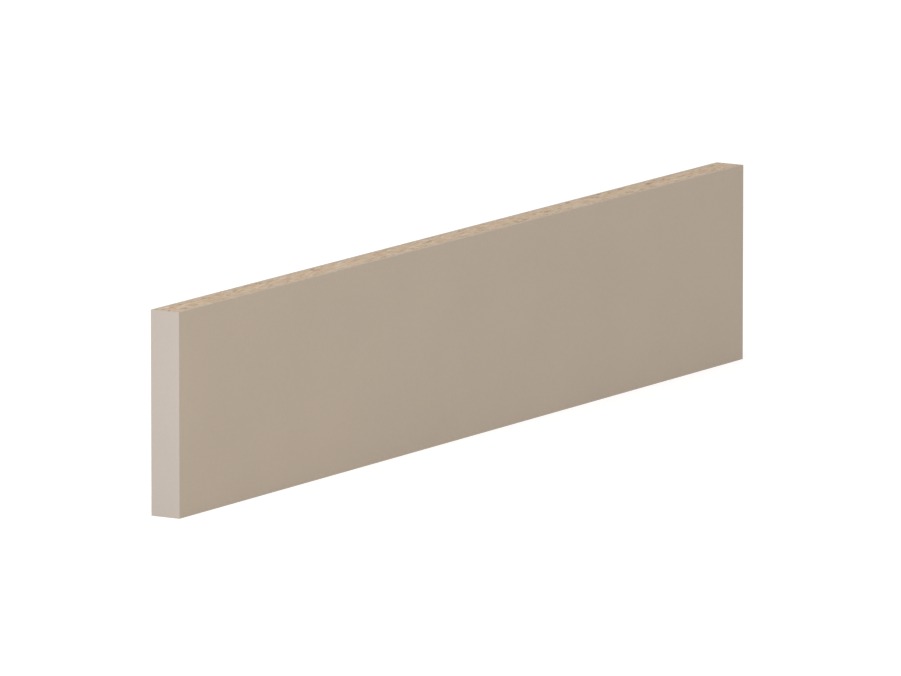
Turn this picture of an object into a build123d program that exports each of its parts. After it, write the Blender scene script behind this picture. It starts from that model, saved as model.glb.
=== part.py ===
from build123d import *
import os

# Plinth board for a floor-standing cabinet, cut from faced chipboard and standing on its
# long lower edge. Millimetres. The origin is the middle of the lower edge: +X runs along
# the board to the right, -Y is out of the front face, and +Z is up.

board_length = 530.0  # over both end bands
board_height = 100.0
board_thickness = 16.0  # over both facings
facing_thickness = 0.2  # decor paper soaked in resin, pressed onto the chipboard
band_thickness = 0.4  # band glued over each sawn end
trim_radius = 0.3  # the banded board's four upright corners are trimmed round

# The faced panel as it comes off the saw, before its two ends are banded.
panel_length = board_length - 2 * band_thickness
core_thickness = board_thickness - 2 * facing_thickness

# The finished board from above. Each piece is the part of it that lies in its own layer,
# so a trim that goes deeper than a band rounds the facings behind it as well.
outline = RectangleRounded(board_length, board_thickness, trim_radius)


def chipboard_core():
    """The pressed chips between the facings. Both long edges are left as sawn."""
    layer = Rectangle(panel_length, core_thickness)
    return extrude(outline & layer, board_height)


def facing(side):
    """The decor sheet on one face: side is -1 for the front and 1 for the back."""
    middle = side * (board_thickness - facing_thickness) / 2
    layer = Pos(0, middle) * Rectangle(panel_length, facing_thickness)
    return extrude(outline & layer, board_height)


def end_band(side):
    """The band on one sawn end: side is -1 for the left and 1 for the right.

    It covers the cut ends of the chips and of both facings, flush with the faces.
    """
    middle = side * (board_length - band_thickness) / 2
    layer = Pos(middle, 0) * Rectangle(band_thickness, board_thickness)
    return extrude(outline & layer, board_height)


sub_parts = {
    "chipboard_core": chipboard_core(),
    "front_facing": facing(-1),
    "back_facing": facing(1),
    "left_end_band": end_band(-1),
    "right_end_band": end_band(1),
}

os.makedirs("parts", exist_ok=True)
for name, solid in sub_parts.items():
    export_step(solid, f"parts/{name}.step")
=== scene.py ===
import math
import random
import bmesh
import bpy
from mathutils import Matrix, Vector
from mathutils.geometry import delaunay_2d_cdt


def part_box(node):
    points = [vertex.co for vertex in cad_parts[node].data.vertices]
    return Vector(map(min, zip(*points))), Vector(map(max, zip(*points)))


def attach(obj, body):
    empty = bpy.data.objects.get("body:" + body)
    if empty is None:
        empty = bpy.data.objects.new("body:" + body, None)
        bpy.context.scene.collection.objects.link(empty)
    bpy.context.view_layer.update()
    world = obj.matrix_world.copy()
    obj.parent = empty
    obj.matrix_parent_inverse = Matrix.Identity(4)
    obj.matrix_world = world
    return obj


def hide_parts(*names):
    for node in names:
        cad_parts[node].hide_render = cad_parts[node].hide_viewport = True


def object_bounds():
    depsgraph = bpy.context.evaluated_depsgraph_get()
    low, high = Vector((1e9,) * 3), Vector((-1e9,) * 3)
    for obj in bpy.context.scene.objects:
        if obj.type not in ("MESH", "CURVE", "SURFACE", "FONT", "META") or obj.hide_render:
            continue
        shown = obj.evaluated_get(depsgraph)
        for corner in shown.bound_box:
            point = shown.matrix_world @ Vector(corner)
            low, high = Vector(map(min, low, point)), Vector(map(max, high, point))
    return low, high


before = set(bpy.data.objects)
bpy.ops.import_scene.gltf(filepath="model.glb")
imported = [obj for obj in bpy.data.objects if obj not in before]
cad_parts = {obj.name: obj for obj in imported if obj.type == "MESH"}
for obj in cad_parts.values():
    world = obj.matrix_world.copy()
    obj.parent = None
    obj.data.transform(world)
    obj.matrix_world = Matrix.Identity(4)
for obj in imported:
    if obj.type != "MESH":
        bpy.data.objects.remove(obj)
cad_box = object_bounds()

# The chipboard core: wood chips and resin dust pressed into a flat sheet, coarse chips in
# the middle and fine ones under the facings. The saw leaves its two long edges raw, with
# low seams between the chips and small pits where the blade tore one out.

core_low, core_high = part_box("chipboard_core")
core_size = core_high - core_low
chip_stretch = 5.5  # a chip is about this many times as long as it is thick
fine_chip = 0.00042  # thickness of a chip next to a facing
coarse_chip = 0.0009  # thickness of a chip in the middle
fine_layer = 0.0024  # depth of the fine chips under each facing
coarser_from = 0.6  # chips start to grow coarser at this share of that layer's depth
coarser_over = 0.8  # and have grown after this share more
chip_spread = (0.5, 1.5)  # a chip's own share of the thickness that is usual at its place
border_step = 0.0026  # chips against a facing lie this far apart
tries_per_chip = 14
chip_sway = 0.0005  # how far the rows of chips wander from straight
sway_run = (0.009, 0.004, 0.004)  # how far a row runs before it turns, along X, Y and Z
seam_depth = 0.00006  # how far the seams between chips lie under the saw cut
pit_depth = 0.0004  # the deepest torn pit
pit_rarity = 14.0  # the higher, the fewer chips are torn
chip_top = 0.95  # share of a chip's width that the saw left flat
weld = 1e-6  # points closer than this are one point
fine_weld = 1e-7


def chip_thickness(y):
    """How thick the chips are at this place across the board."""
    depth = min(y - core_low.y, core_high.y - y)
    inward = (depth - coarser_from * fine_layer) / (coarser_over * fine_layer)
    return fine_chip + (coarse_chip - fine_chip) * min(1.0, max(0.0, inward))


def chip_centres(seed):
    """Scatters chip centres over a long edge, squeezed along X so that chips come out long."""
    dice = random.Random(seed)
    squeezed = core_size.x / chip_stretch
    left = core_low.x / chip_stretch
    steps = round(core_size.x / border_step)
    rows = round(core_size.y / (2 * fine_chip))
    stations = [left + squeezed * i / steps for i in range(steps + 1)]
    layers = [core_low.y + core_size.y * i / rows for i in range(1, rows)]
    centres = [(x, y) for y in (core_low.y, core_high.y) for x in stations]
    centres += [(x, y) for x in (left, -left) for y in layers]
    bins = {}

    def bin_of(x, y):
        return int(x // fine_chip), int(y // fine_chip)

    def keep(x, y, reach):
        bins.setdefault(bin_of(x, y), []).append((x, y, reach))

    def is_free(x, y, reach):
        span = int(reach // fine_chip) + 1
        column, row = bin_of(x, y)
        for i in range(column - span, column + span + 1):
            for j in range(row - span, row + span + 1):
                for px, py, other in bins.get((i, j), ()):
                    if math.hypot(x - px, y - py) < min(reach, other):
                        return False
        return True

    for x, y in centres:
        keep(x, y, fine_chip)
    for _ in range(int(tries_per_chip * squeezed * core_size.y / fine_chip**2)):
        x = dice.uniform(left, -left)
        y = dice.uniform(core_low.y, core_high.y)
        thickness = chip_thickness(y)
        if dice.random() > (fine_chip / thickness) ** 2:
            continue
        reach = thickness * dice.uniform(*chip_spread)
        if is_free(x, y, reach):
            centres.append((x, y))
            keep(x, y, reach)
    return centres


def chip_net(name, seed):
    """A flat net of triangles over a long edge, whose corners are the chips' centres."""
    centres = [Vector(centre) for centre in chip_centres(seed)]
    corners, _, triangles, *_ = delaunay_2d_cdt(centres, [], [], 0, fine_weld)
    net = bpy.data.meshes.new(name)
    net.from_pydata([(c.x * chip_stretch, c.y, 0.0) for c in corners], [], triangles)
    return net


def live_socket(sockets, key):
    """The socket of that number, or the one of that name which the node's settings leave on."""
    if isinstance(key, int):
        return sockets[key]
    return next(s for s in sockets if s.name == key and s.enabled)


def add_node(tree, kind, inputs=None, **settings):
    """Adds a node with its settings. Each input is a value or the socket that feeds it."""
    made = tree.nodes.new(kind)
    for name, value in settings.items():
        setattr(made, name, value)
    for key, value in (inputs or {}).items():
        if isinstance(value, bpy.types.NodeSocket):
            tree.links.new(value, live_socket(made.inputs, key))
        else:
            live_socket(made.inputs, key).default_value = value
    return made


def out(made, key=0):
    """A node's output."""
    return live_socket(made.outputs, key)


def maths(tree, operation, first, second=0.0):
    """One sum on two numbers."""
    return out(add_node(tree, "ShaderNodeMath", {0: first, 1: second}, operation=operation))


def between(tree, value, low, high, at_low, at_high):
    """Carries a value from one range to another, and holds it at the ends."""
    return out(
        add_node(
            tree,
            "ShaderNodeMapRange",
            {
                "Value": value,
                "From Min": low,
                "From Max": high,
                "To Min": at_low,
                "To Max": at_high,
            },
        )
    )


def coordinate(tree, place, axis):
    """One coordinate of a place."""
    return out(add_node(tree, "ShaderNodeSeparateXYZ", {0: place}), axis)


noise_span = (0.3, 0.7)  # nearly all noise lies between these


def noise(tree, place, size, detail=2.0, shift=None):
    """Noise from 0 to 1, with blots of that size in metres along X, Y and Z."""
    scale = [1 / length for length in size]
    at = out(add_node(tree, "ShaderNodeVectorMath", {0: place, 1: scale}, operation="MULTIPLY"))
    if shift is not None:
        at = out(add_node(tree, "ShaderNodeVectorMath", {0: at, 1: shift}, operation="ADD"))
    return out(
        add_node(
            tree,
            "ShaderNodeTexNoise",
            {"Vector": at, "Scale": 1.0, "Detail": detail},
            noise_dimensions="3D",
        )
    )


def new_tree(name, sizes):
    """Starts a tree that takes a mesh, named sizes and a finish. Returns it and its inputs."""
    tree = bpy.data.node_groups.new(name, "GeometryNodeTree")
    tree.is_modifier = True
    tree.interface.new_socket("Mesh", in_out="INPUT", socket_type="NodeSocketGeometry")
    for label in sizes:
        tree.interface.new_socket(label, in_out="INPUT", socket_type="NodeSocketFloat")
    tree.interface.new_socket("Finish", in_out="INPUT", socket_type="NodeSocketMaterial")
    tree.interface.new_socket("Mesh", in_out="OUTPUT", socket_type="NodeSocketGeometry")
    return tree, add_node(tree, "NodeGroupInput")


def close_tree(tree, mesh, given):
    """Ends a tree: every copy made real, and the finish put on."""
    real = add_node(tree, "GeometryNodeRealizeInstances", {"Geometry": mesh})
    finished = add_node(
        tree,
        "GeometryNodeSetMaterial",
        {"Geometry": out(real), "Material": out(given, "Finish")},
    )
    add_node(tree, "NodeGroupOutput", {0: out(finished)})


def grow(tree, mesh, sizes):
    """Runs a tree on a mesh with these sizes and returns the plain mesh that it makes."""
    carrier = bpy.data.objects.new("carrier", mesh)
    bpy.context.scene.collection.objects.link(carrier)
    modifier = carrier.modifiers.new("tree", "NODES")
    modifier.node_group = tree
    for item in tree.interface.items_tree:
        if item.in_out == "INPUT" and item.name in sizes:
            modifier[item.identifier] = sizes[item.name]
    evaluated = carrier.evaluated_get(bpy.context.evaluated_depsgraph_get())
    grown = bpy.data.meshes.new_from_object(evaluated)
    carrier.modifiers.remove(modifier)
    bpy.data.objects.remove(carrier)
    return grown


def marked(tree, mesh, name, value, where=True):
    """Writes a number on the faces of a mesh, or on some of them, for the finish to read."""
    return out(
        add_node(
            tree,
            "GeometryNodeStoreNamedAttribute",
            {"Geometry": mesh, "Selection": where, "Name": name, "Value": value},
            data_type="FLOAT",
            domain="FACE",
        )
    )


def shifted_across(tree, mesh, distance):
    """Shifts the points of a mesh along Y."""
    offset = add_node(tree, "ShaderNodeCombineXYZ", {"Y": distance})
    made = add_node(tree, "GeometryNodeSetPosition", {"Geometry": mesh, "Offset": out(offset)})
    return out(made)


def random_share(tree, seed):
    """A random number from 0 to 1 for each face."""
    which = add_node(tree, "GeometryNodeInputIndex")
    return out(
        add_node(
            tree,
            "FunctionNodeRandomValue",
            {"Min": 0.0, "Max": 1.0, "ID": out(which), "Seed": seed},
            data_type="FLOAT",
        ),
        "Value",
    )


def sawn_chips_tree():
    """Turns a net into a sawn long edge. Each corner becomes a flat chip with seams round it."""
    tree, given = new_tree(
        "sawn_chips",
        (
            "Half Width",
            "Fine Layer",
            "Sway",
            "Seam Depth",
            "Pit Depth",
            "Chip Top",
            "Wall Depth",
            "Seed",
        ),
    )
    seam, seed = out(given, "Seam Depth"), out(given, "Seed")
    chips = add_node(tree, "GeometryNodeDualMesh", {"Mesh": out(given), "Keep Boundaries": True})
    place = out(add_node(tree, "GeometryNodeInputPosition"))
    from_middle = maths(tree, "ABSOLUTE", coordinate(tree, place, "Y"))
    depth = maths(tree, "SUBTRACT", out(given, "Half Width"), from_middle)
    coarse = between(tree, depth, 0.0, out(given, "Fine Layer"), 0.0, 1.0)
    wave = between(tree, noise(tree, place, sway_run), *noise_span, -1.0, 1.0)
    sideways = maths(tree, "MULTIPLY", maths(tree, "MULTIPLY", wave, coarse), out(given, "Sway"))
    swayed = shifted_across(tree, out(chips), sideways)
    toned = marked(tree, swayed, "chip_tone", random_share(tree, seed))
    torn = maths(tree, "POWER", random_share(tree, maths(tree, "ADD", seed, 1.0)), pit_rarity)
    torn_inside = maths(tree, "MULTIPLY", torn, coarse)
    scarred = marked(tree, toned, "torn", torn_inside)
    pit = maths(tree, "MULTIPLY", torn_inside, out(given, "Pit Depth"))
    raised = add_node(
        tree,
        "GeometryNodeExtrudeMesh",
        {"Mesh": scarred, "Offset Scale": maths(tree, "SUBTRACT", seam, pit), "Individual": True},
        mode="FACES",
    )
    shrunk = add_node(
        tree,
        "GeometryNodeScaleElements",
        {
            "Geometry": out(raised),
            "Selection": out(raised, "Top"),
            "Scale": out(given, "Chip Top"),
        },
        domain="FACE",
    )
    sawn = marked(tree, out(shrunk), "sawn_flat", 1.0, out(raised, "Top"))
    neighbours = add_node(tree, "GeometryNodeInputMeshEdgeNeighbors")
    on_border = add_node(
        tree,
        "FunctionNodeCompare",
        {"A": out(neighbours), "B": 1},
        data_type="INT",
        operation="EQUAL",
    )
    down = add_node(tree, "ShaderNodeCombineXYZ", {"Z": -1.0})
    walled = add_node(
        tree,
        "GeometryNodeExtrudeMesh",
        {
            "Mesh": sawn,
            "Selection": out(on_border),
            "Offset": out(down),
            "Offset Scale": out(given, "Wall Depth"),
        },
        mode="EDGES",
    )
    close_tree(tree, out(walled), given)
    return tree


def new_finish(name):
    """Starts a material. Returns it, its tree, its shader and the piece's own coordinates."""
    finish = bpy.data.materials.new(name)
    finish.use_nodes = True
    tree = finish.node_tree
    shader = next(n for n in tree.nodes if n.type == "BSDF_PRINCIPLED")
    place = add_node(tree, "ShaderNodeTexCoord")
    return finish, tree, shader, out(place, "Object")


def mark_of(tree, name):
    """A number that the piece's mesh carries on its faces."""
    return out(add_node(tree, "ShaderNodeAttribute", attribute_name=name), "Fac")


def ramp(tree, value, stops):
    """Colours along a value: stops are (place, colour)."""
    made = add_node(tree, "ShaderNodeValToRGB", {"Fac": value})
    points = made.color_ramp.elements
    while len(points) < len(stops):
        points.new(0.5)
    for point, (place, colour) in zip(points, stops):
        point.position = place
        point.color = (*colour, 1.0)
    return out(made)


def blend(tree, kind, share, first, second):
    """Blends two colours."""
    made = add_node(tree, "ShaderNodeMix", {"Factor": share}, data_type="RGBA", blend_type=kind)
    for name, value in (("A", first), ("B", second)):
        if isinstance(value, bpy.types.NodeSocket):
            tree.links.new(value, live_socket(made.inputs, name))
        else:
            live_socket(made.inputs, name).default_value = (*value, 1.0)
    return out(made, "Result")


def shade(tree, colour, value, low, high, darkest, palest):
    """Darkens and pales a colour as a value goes from low to high."""
    share = between(tree, value, low, high, darkest, palest)
    grey = add_node(tree, "ShaderNodeCombineColor", {"Red": share, "Green": share, "Blue": share})
    return blend(tree, "MULTIPLY", 1.0, colour, out(grey))


def bump(tree, height, depth):
    """A bump whose full height is that depth in metres."""
    made = add_node(tree, "ShaderNodeBump", {"Height": height, "Distance": depth, "Strength": 1.0})
    return out(made)


chip_colours = (
    (0.0, (0.415, 0.287, 0.188)),
    (0.06, (0.465, 0.342, 0.237)),
    (0.22, (0.543, 0.376, 0.255)),
    (0.40, (0.490, 0.403, 0.278)),
    (0.58, (0.536, 0.403, 0.309)),
    (0.74, (0.525, 0.425, 0.281)),
    (0.90, (0.565, 0.391, 0.285)),
    (1.0, (0.603, 0.522, 0.42)),
)
grain_size = (0.0045, 0.00028, 0.00028)
grain_contrast = (0.92, 1.07)
grain_relief = 0.00006
grain_lean = 0.22  # the grain of a chip leans at most this many radians from the board's length
lean_shuffle = 57.0  # these two make unlike numbers of a chip's tone
grain_shuffle = 83.0
clump_size = (0.011, 0.0032, 0.0032)  # paler and darker chips lie in clumps
faint = (0.985, 1.015)  # how far clumps and clouds darken and pale a colour
# painted shade in the torn pits, partly resin and dust: how far the pits are darkened
painted_pit_shade_and_resin = 0.9
painted_seam_shade_and_resin_size = (0.004, 0.0012, 0.0012)  # painted shade and resin darken the seams in some places and not in others
painted_seam_shade_and_resin_span = (0.35, 0.65)
painted_seam_shade_and_resin_darkest = 0.86
dust_share = 0.6  # how much dust hides the chips next to a facing
dusty_to = 0.3  # the dust is that thick through this share of the fine layer
dust_colour = (0.445, 0.390, 0.335)
chip_roughness = (0.78, 0.92)
chip_shine = 0.25


def raw_chips_finish():
    """Pale softwood chips, each with its own tone and run of grain, with resin and painted shade
    darkening the seams and the torn pits.
    """
    finish, tree, shader, place = new_finish("raw_chips")
    tone = mark_of(tree, "chip_tone")
    chip_colour = ramp(tree, tone, chip_colours)
    shuffled = maths(tree, "FRACT", maths(tree, "MULTIPLY", tone, lean_shuffle))
    lean = between(tree, shuffled, 0.0, 1.0, -grain_lean, grain_lean)
    leaning = add_node(
        tree,
        "ShaderNodeVectorRotate",
        {"Vector": place, "Angle": lean},
        rotation_type="Z_AXIS",
    )
    apart = maths(tree, "MULTIPLY", tone, grain_shuffle)
    grain = noise(tree, out(leaning), grain_size, detail=3.0, shift=apart)
    grained = shade(tree, chip_colour, grain, *noise_span, *grain_contrast)
    clumped = shade(tree, grained, noise(tree, place, clump_size), *noise_span, *faint)
    # painted shade in the torn pits, partly resin and dust
    torn = shade(tree, clumped, mark_of(tree, "torn"), 0.0, 1.0, 1.0, painted_pit_shade_and_resin)
    # painted shade in the seams between chips, partly resin: the seam walls are darkened, more in
    # some places than in others
    painted_seam_shade_and_resin = between(tree, noise(tree, place, painted_seam_shade_and_resin_size), *painted_seam_shade_and_resin_span, painted_seam_shade_and_resin_darkest, 1.0)
    seamed = shade(tree, torn, mark_of(tree, "sawn_flat"), 0.0, 1.0, painted_seam_shade_and_resin, 1.0)
    from_middle = maths(tree, "ABSOLUTE", coordinate(tree, place, "Y"))
    half = core_size.y / 2
    thin, thick = half - fine_layer, half - dusty_to * fine_layer
    dust = between(tree, from_middle, thin, thick, 0.0, dust_share)
    dusted = blend(tree, "MIX", dust, seamed, dust_colour)
    tree.links.new(dusted, shader.inputs["Base Color"])
    rough = between(tree, grain, *noise_span, *chip_roughness)
    tree.links.new(rough, shader.inputs["Roughness"])
    tree.links.new(bump(tree, grain, grain_relief), shader.inputs["Normal"])
    shader.inputs["Specular IOR Level"].default_value = chip_shine
    return finish


def saw_both_edges(tree, finish):
    """Grows the upper and the lower long edge, and closes them into one board-high block."""
    mirrored = Matrix.Translation((0, 0, core_low.z + core_high.z)) @ Matrix.Scale(-1, 4, (0, 0, 1))
    block = bmesh.new()
    for name, seed, is_lower in (("upper_edge", 11, False), ("lower_edge", 29, True)):
        sizes = {
            "Half Width": core_size.y / 2,
            "Fine Layer": fine_layer,
            "Sway": chip_sway,
            "Seam Depth": seam_depth,
            "Pit Depth": pit_depth,
            "Chip Top": chip_top,
            "Wall Depth": core_size.z / 2 - seam_depth,
            "Seed": float(seed),
            "Finish": finish,
        }
        half = grow(tree, chip_net(name, seed), sizes)
        half.transform(Matrix.Translation((0, 0, core_high.z - seam_depth)))
        if is_lower:
            half.transform(mirrored)
            half.flip_normals()
        block.from_mesh(half)
    bmesh.ops.remove_doubles(block, verts=block.verts, dist=weld)
    mesh = bpy.data.meshes.new("chipboard")
    block.to_mesh(mesh)
    block.free()
    mesh.materials.append(finish)
    return mesh


def unfold(mesh, shown, rows, overlap):
    """Lays a long piece out flat for its baked picture.

    Each side in shown is cut into rows, one above the other, and a face that crosses a cut
    may reach overlap past it. The hidden sides share a thin strip.
    """
    strip = 0.06
    margin = 0.03
    least_facing = 0.05
    corners = [vertex.co.copy() for vertex in mesh.vertices]
    low = Vector([min(c[i] for c in corners) for i in range(3)])
    size = Vector([max(c[i] for c in corners) for i in range(3)]) - low
    shares = [Vector([(c[i] - low[i]) / size[i] for i in range(3)]) for c in corners]
    row_share = 1 / rows
    span = row_share + 2 * overlap / size.x
    pitch = (1 - strip) / (rows * len(shown))
    layer = mesh.uv_layers.new(name="OFBake").data
    for face in mesh.polygons:
        row = min(int((face.center.x - low.x) / size.x * rows), rows - 1)
        sides = [i for i, way in enumerate(shown) if face.normal.dot(way) > least_facing]
        side = sides[0] if sides else None
        axis = max(range(3), key=lambda i: abs(face.normal[i]))
        if side is not None:
            axis = max(range(3), key=lambda i: abs(shown[side][i]))
        along = 1 if axis == 0 else 0
        up = 1 if axis == 2 else 2
        level = 2 * axis + (face.normal[axis] > 0)
        for corner in face.loop_indices:
            share = shares[mesh.loops[corner].vertex_index]
            height = margin + (1 - 2 * margin) * share[up]
            if side is None:
                layer[corner].uv = (share[along], 1 - strip + strip / 6 * (level + height))
            else:
                reach = share.x - row * row_share + overlap / size.x
                layer[corner].uv = (reach / span, pitch * (side * rows + row + height))


def new_piece(name, mesh, node):
    """Puts a finished mesh in the place of its CAD node."""
    piece = bpy.data.objects.new(name, mesh)
    bpy.context.scene.collection.objects.link(piece)
    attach(piece, "root")
    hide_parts(node)


upward = Vector((0, 0, 1))
chipboard = saw_both_edges(sawn_chips_tree(), raw_chips_finish())
unfold(chipboard, shown=(upward, -upward), rows=4, overlap=0.008)
new_piece("chipboard", chipboard, "chipboard_core")

# The two facings: sheets of decor paper soaked in melamine resin and pressed on hot. The
# press plate gives them a fine satin grain. The saw runs through them with the board, and
# leaves their long edges a little ragged, with a few torn nicks that show the chips behind.

facing_low, facing_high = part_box("front_facing")
facing_size = facing_high - facing_low
saw_tooth = 0.00005  # how ragged the saw leaves an edge all along
torn_nick = 0.00045  # the deepest nick
nick_step = 0.0005  # the edge has a corner this often
tooth_size = (0.0011, 1.0, 1.0)  # along X, Y and Z
nick_size = (0.0042, 0.01, 1.0)
nick_span = (0.60, 0.78)  # the noise at which a nick starts, and at which it is deepest
cloud_size = (0.05, 0.05, 0.05)
mottle_size = (0.0012, 0.0012, 0.0012)
dimple_size = (0.0007, 0.0007, 0.0007)
dimple_depth = 0.00005
uneven_roughness = 0.03  # how far the roughness strays to either side
decor_roughness = 0.5
decor_colour = (0.391, 0.326, 0.255)
paper_colour = (0.545, 0.44, 0.32)
paper_share = 0.5  # how much the paper shows at a sawn edge


def merged(tree, mesh, distance):
    """Makes one point of those closer than distance."""
    inputs = {"Geometry": mesh, "Distance": distance}
    return out(add_node(tree, "GeometryNodeMergeByDistance", inputs))


def thicken(tree, sheet, thickness):
    """Raises a flat sheet to its thickness and closes it below. Marks its sides as sawn."""
    raised = add_node(
        tree,
        "GeometryNodeExtrudeMesh",
        {"Mesh": sheet, "Offset Scale": thickness, "Individual": False},
        mode="FACES",
    )
    sides = marked(tree, out(raised), "sawn_side", 1.0, out(raised, "Side"))
    underside = out(add_node(tree, "GeometryNodeFlipFaces", {"Mesh": sheet}))
    shell = add_node(tree, "GeometryNodeJoinGeometry", {0: underside})
    tree.links.new(sides, shell.inputs[0])
    return merged(tree, out(shell), weld)


def sawn_sheet_tree():
    """A flat sheet whose two long edges have a saw's small teeth and a few torn nicks."""
    tree, given = new_tree(
        "sawn_sheet",
        ("Length", "Height", "Thickness", "Nick Step", "Saw Tooth", "Torn Nick", "Seed"),
    )
    length, seed = out(given, "Length"), out(given, "Seed")
    columns = maths(tree, "DIVIDE", length, out(given, "Nick Step"))
    sheet = add_node(
        tree,
        "GeometryNodeMeshGrid",
        {
            "Size X": length,
            "Size Y": out(given, "Height"),
            "Vertices X": columns,
            "Vertices Y": 2,
        },
    )
    place = out(add_node(tree, "GeometryNodeInputPosition"))
    teeth = between(tree, noise(tree, place, tooth_size, shift=seed), *noise_span, 0.0, 1.0)
    tears = between(tree, noise(tree, place, nick_size, shift=seed), *nick_span, 0.0, 1.0)
    depth = maths(
        tree,
        "ADD",
        maths(tree, "MULTIPLY", teeth, out(given, "Saw Tooth")),
        maths(tree, "MULTIPLY", tears, out(given, "Torn Nick")),
    )
    edge = maths(tree, "SIGN", coordinate(tree, place, "Y"))
    inward = maths(tree, "MULTIPLY", maths(tree, "MULTIPLY", edge, depth), -1.0)
    nicked = shifted_across(tree, out(sheet), inward)
    close_tree(tree, thicken(tree, nicked, out(given, "Thickness")), given)
    return tree


def satin_grain(tree, shader, place, colour, roughness):
    """Gives a surface a press plate's fine dimples. Returns its colour with faint clouds."""
    clouded = shade(tree, colour, noise(tree, place, cloud_size), *noise_span, *faint)
    mottled = shade(tree, clouded, noise(tree, place, mottle_size), *noise_span, *faint)
    dimples = noise(tree, place, dimple_size, detail=1.0)
    roughest, smoothest = roughness + uneven_roughness, roughness - uneven_roughness
    rough = between(tree, dimples, *noise_span, smoothest, roughest)
    tree.links.new(rough, shader.inputs["Roughness"])
    tree.links.new(bump(tree, dimples, dimple_depth), shader.inputs["Normal"])
    return mottled


def satin_decor_finish():
    """Plain grey-beige decor, with the paler paper at its sawn edges."""
    finish, tree, shader, place = new_finish("satin_decor")
    face = satin_grain(tree, shader, place, decor_colour, decor_roughness)
    sawn = maths(tree, "MULTIPLY", mark_of(tree, "sawn_side"), paper_share)
    tree.links.new(blend(tree, "MIX", sawn, face, paper_colour), shader.inputs["Base Color"])
    return finish


sawn_sheet = sawn_sheet_tree()
satin_decor = satin_decor_finish()
stood_up = Matrix.Rotation(math.radians(90), 4, "X")  # its raised face then looks to the front
outward = Vector((0, -1, 0))
for name, node, turn, seat in (
    ("front_decor", "front_facing", 0, core_low.y),
    ("back_decor", "back_facing", 180, core_high.y),
):
    sizes = {
        "Length": facing_size.x,
        "Height": facing_size.z,
        "Thickness": facing_size.y,
        "Nick Step": nick_step,
        "Saw Tooth": saw_tooth,
        "Torn Nick": torn_nick,
        "Seed": 3.0 + turn,
        "Finish": satin_decor,
    }
    turned = Matrix.Rotation(math.radians(turn), 4, "Z")
    sheet = grow(sawn_sheet, bpy.data.meshes.new(name), sizes)
    sheet.transform(Matrix.Translation((0, seat, core_size.z / 2)) @ turned @ stood_up)
    unfold(sheet, shown=(turned @ outward,), rows=2, overlap=0.001)
    new_piece(name, sheet, node)

# The end bands: thin plastic strip, coloured right through, glued hot over each sawn end.
# It is trimmed flush with the faces, and its outer upright corners are scraped round.

band_low, band_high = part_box("left_end_band")
band_size = band_high - band_low
scraped_radius = 0.0003
corner_facets = 6
sharp_from = math.radians(30)
glue_line = 0.00005  # glue that shows along the inner side of the band
glue_share = 0.75  # how much of it shows
band_roughness = 0.42
# paler and greyer than the decor: partly the tape's own shade, partly painted light that stands in
# for the brighter light on the ends
band_colour_with_painted_light = (0.406, 0.358, 0.316)
glue_colour = (0.26, 0.20, 0.14)


def trimmed_band_tree():
    """An upright strip whose two outer corners are scraped round."""
    tree, given = new_tree(
        "trimmed_band",
        ("Thickness", "Width", "Height", "Scraped Radius", "Corner Facets"),
    )
    outline = add_node(
        tree,
        "GeometryNodeCurvePrimitiveQuadrilateral",
        {"Width": out(given, "Thickness"), "Height": out(given, "Width")},
    )
    place = out(add_node(tree, "GeometryNodeInputPosition"))
    outer = maths(tree, "LESS_THAN", coordinate(tree, place, "X"), 0.0)
    scraped = add_node(
        tree,
        "GeometryNodeFilletCurve",
        {
            "Curve": out(outline),
            "Radius": maths(tree, "MULTIPLY", outer, out(given, "Scraped Radius")),
            "Count": out(given, "Corner Facets"),
        },
        mode="POLY",
    )
    section = out(add_node(tree, "GeometryNodeFillCurve", {"Curve": out(scraped)}, mode="NGONS"))
    cleaned = merged(tree, section, fine_weld)
    close_tree(tree, thicken(tree, cleaned, out(given, "Height")), given)
    return tree


def satin_band_finish():
    """Satin plastic a shade greyer and paler than the decor, partly the tape's own shade and partly
    painted light for the brighter light on the ends, with the hairline of glue behind it.
    """
    finish, tree, shader, place = new_finish("satin_band")
    face = satin_grain(tree, shader, place, band_colour_with_painted_light, band_roughness)
    from_middle = maths(tree, "ABSOLUTE", coordinate(tree, place, "X"))
    inner = -band_high.x
    glue = between(tree, from_middle, inner + glue_line, inner + 1.2 * glue_line, glue_share, 0.0)
    tree.links.new(blend(tree, "MIX", glue, face, glue_colour), shader.inputs["Base Color"])
    return finish


trimmed_band = trimmed_band_tree()
satin_band = satin_band_finish()
for name, node, turn in (("left_band", "left_end_band", 0), ("right_band", "right_end_band", 180)):
    sizes = {
        "Thickness": band_size.x,
        "Width": band_size.y,
        "Height": band_size.z,
        "Scraped Radius": scraped_radius,
        "Corner Facets": float(corner_facets),
        "Finish": satin_band,
    }
    band = grow(trimmed_band, bpy.data.meshes.new(name), sizes)
    seat = Matrix.Translation(((band_low.x + band_high.x) / 2, 0, 0))
    band.transform(Matrix.Rotation(math.radians(turn), 4, "Z") @ seat)
    band.shade_smooth()
    band.set_sharp_from_angle(angle=sharp_from)
    new_piece(name, band, node)

# The studio: a plain pale floor under soft even light, and the camera where the board
# shows its front, its left end and its upper edge.

floor_radius = 3.0
rim_points = 64
floor_colour = (0.80, 0.71, 0.64)
shadow_grey = (0.5, 0.5, 0.5)  # this part of the floor's white falls away in shadow
floor_glow = 0.6  # and this part stays
floor_mesh = bpy.data.meshes.new("floor")
turns = [math.tau * i / rim_points for i in range(rim_points)]
rim = [(floor_radius * math.cos(turn), floor_radius * math.sin(turn), 0.0) for turn in turns]
floor_mesh.from_pydata(rim, [], [list(range(rim_points))])
floor = bpy.data.objects.new("floor", floor_mesh)
bpy.context.scene.collection.objects.link(floor)


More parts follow.
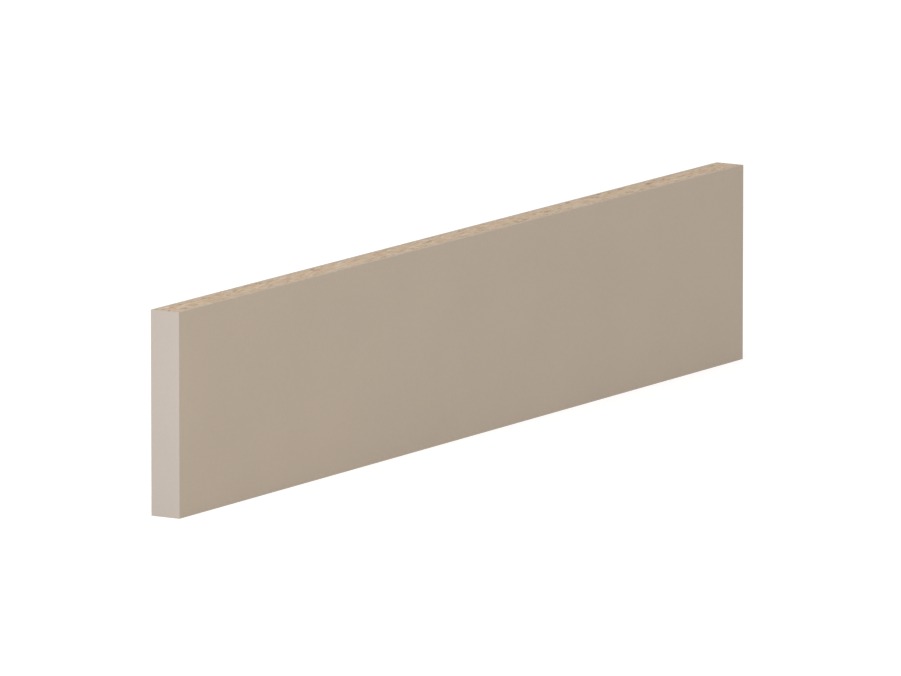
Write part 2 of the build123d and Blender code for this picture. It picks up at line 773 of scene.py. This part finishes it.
def shows_white(tree):
    """1 for rays from the camera, and for those that gloss or glass passes on."""
    path = add_node(tree, "ShaderNodeLightPath")
    seen = maths(tree, "MAXIMUM", out(path, "Is Camera Ray"), out(path, "Is Glossy Ray"))
    return maths(tree, "MAXIMUM", seen, out(path, "Is Transmission Ray"))


def floor_finish():
    """Pale floor that shows white, with a faint trace of the board's shadow."""
    finish = bpy.data.materials.new("pale_floor")
    finish.use_nodes = True
    tree = finish.node_tree
    tree.nodes.clear()
    lit = add_node(tree, "ShaderNodeBsdfDiffuse", {"Color": (*floor_colour, 1.0)})
    shadowed = add_node(tree, "ShaderNodeBsdfDiffuse", {"Color": (*shadow_grey, 1.0)})
    glow = add_node(tree, "ShaderNodeEmission", {"Strength": floor_glow})
    seen = add_node(tree, "ShaderNodeAddShader", {0: out(shadowed), 1: out(glow)})
    mixed = add_node(tree, "ShaderNodeMixShader", {0: shows_white(tree), 1: out(lit), 2: out(seen)})
    add_node(tree, "ShaderNodeOutputMaterial", {"Surface": out(mixed)})
    return finish


floor_mesh.materials.append(floor_finish())

room_light = 0.80
plain_white = (1.0, 1.0, 1.0)
world = bpy.data.worlds.new("studio")
bpy.context.scene.world = world
world.use_nodes = True
sky = world.node_tree
sky.nodes.clear()
room = add_node(sky, "ShaderNodeBackground", {"Color": (*plain_white, 1.0), "Strength": room_light})
white = add_node(sky, "ShaderNodeBackground", {"Color": (*plain_white, 1.0), "Strength": 1.0})
both = add_node(sky, "ShaderNodeMixShader", {0: shows_white(sky), 1: out(room), 2: out(white)})
add_node(sky, "ShaderNodeOutputWorld", {"Surface": out(both)})


def softbox(name, place, width, height, power, colour=plain_white):
    """A soft lamp that faces the middle of the board. place is in metres."""
    lamp = bpy.data.lights.new(name, "AREA")
    lamp.shape = "RECTANGLE"
    lamp.size, lamp.size_y = width, height
    lamp.energy = power
    lamp.color = colour
    holder = bpy.data.objects.new(name, lamp)
    bpy.context.scene.collection.objects.link(holder)
    holder.location = place
    holder.rotation_euler = (board_middle - Vector(place)).to_track_quat("-Z", "Y").to_euler()


board_low, board_high = cad_box
board_middle = (board_low + board_high) / 2
softbox("left_softbox", (-2.2, -0.3, 1.0), 1.2, 1.2, 30.0, (0.93, 0.97, 1.0))
softbox("front_softbox", (-0.8, -2.6, 1.6), 1.6, 1.2, 14.0)

picture_width = 901
focal_length = 14342.7  # in the picture's pixels
azimuth, elevation = math.radians(-58.337), math.radians(9.662)
distance = 7.0638
aim = Vector((-0.005394, 0.0, 0.049318))
back = Vector(
    (
        math.sin(azimuth) * math.cos(elevation),
        -math.cos(azimuth) * math.cos(elevation),
        math.sin(elevation),
    )
)
lens = bpy.data.cameras.new("camera")
lens.sensor_width = 36.0
lens.lens = focal_length / picture_width * lens.sensor_width
camera = bpy.data.objects.new("camera", lens)
bpy.context.scene.collection.objects.link(camera)
camera.location = aim + back * distance
camera.rotation_euler = (-back).to_track_quat("-Z", "Y").to_euler()
bpy.context.scene.camera = camera
bpy.context.scene.view_settings.view_transform = "Standard"
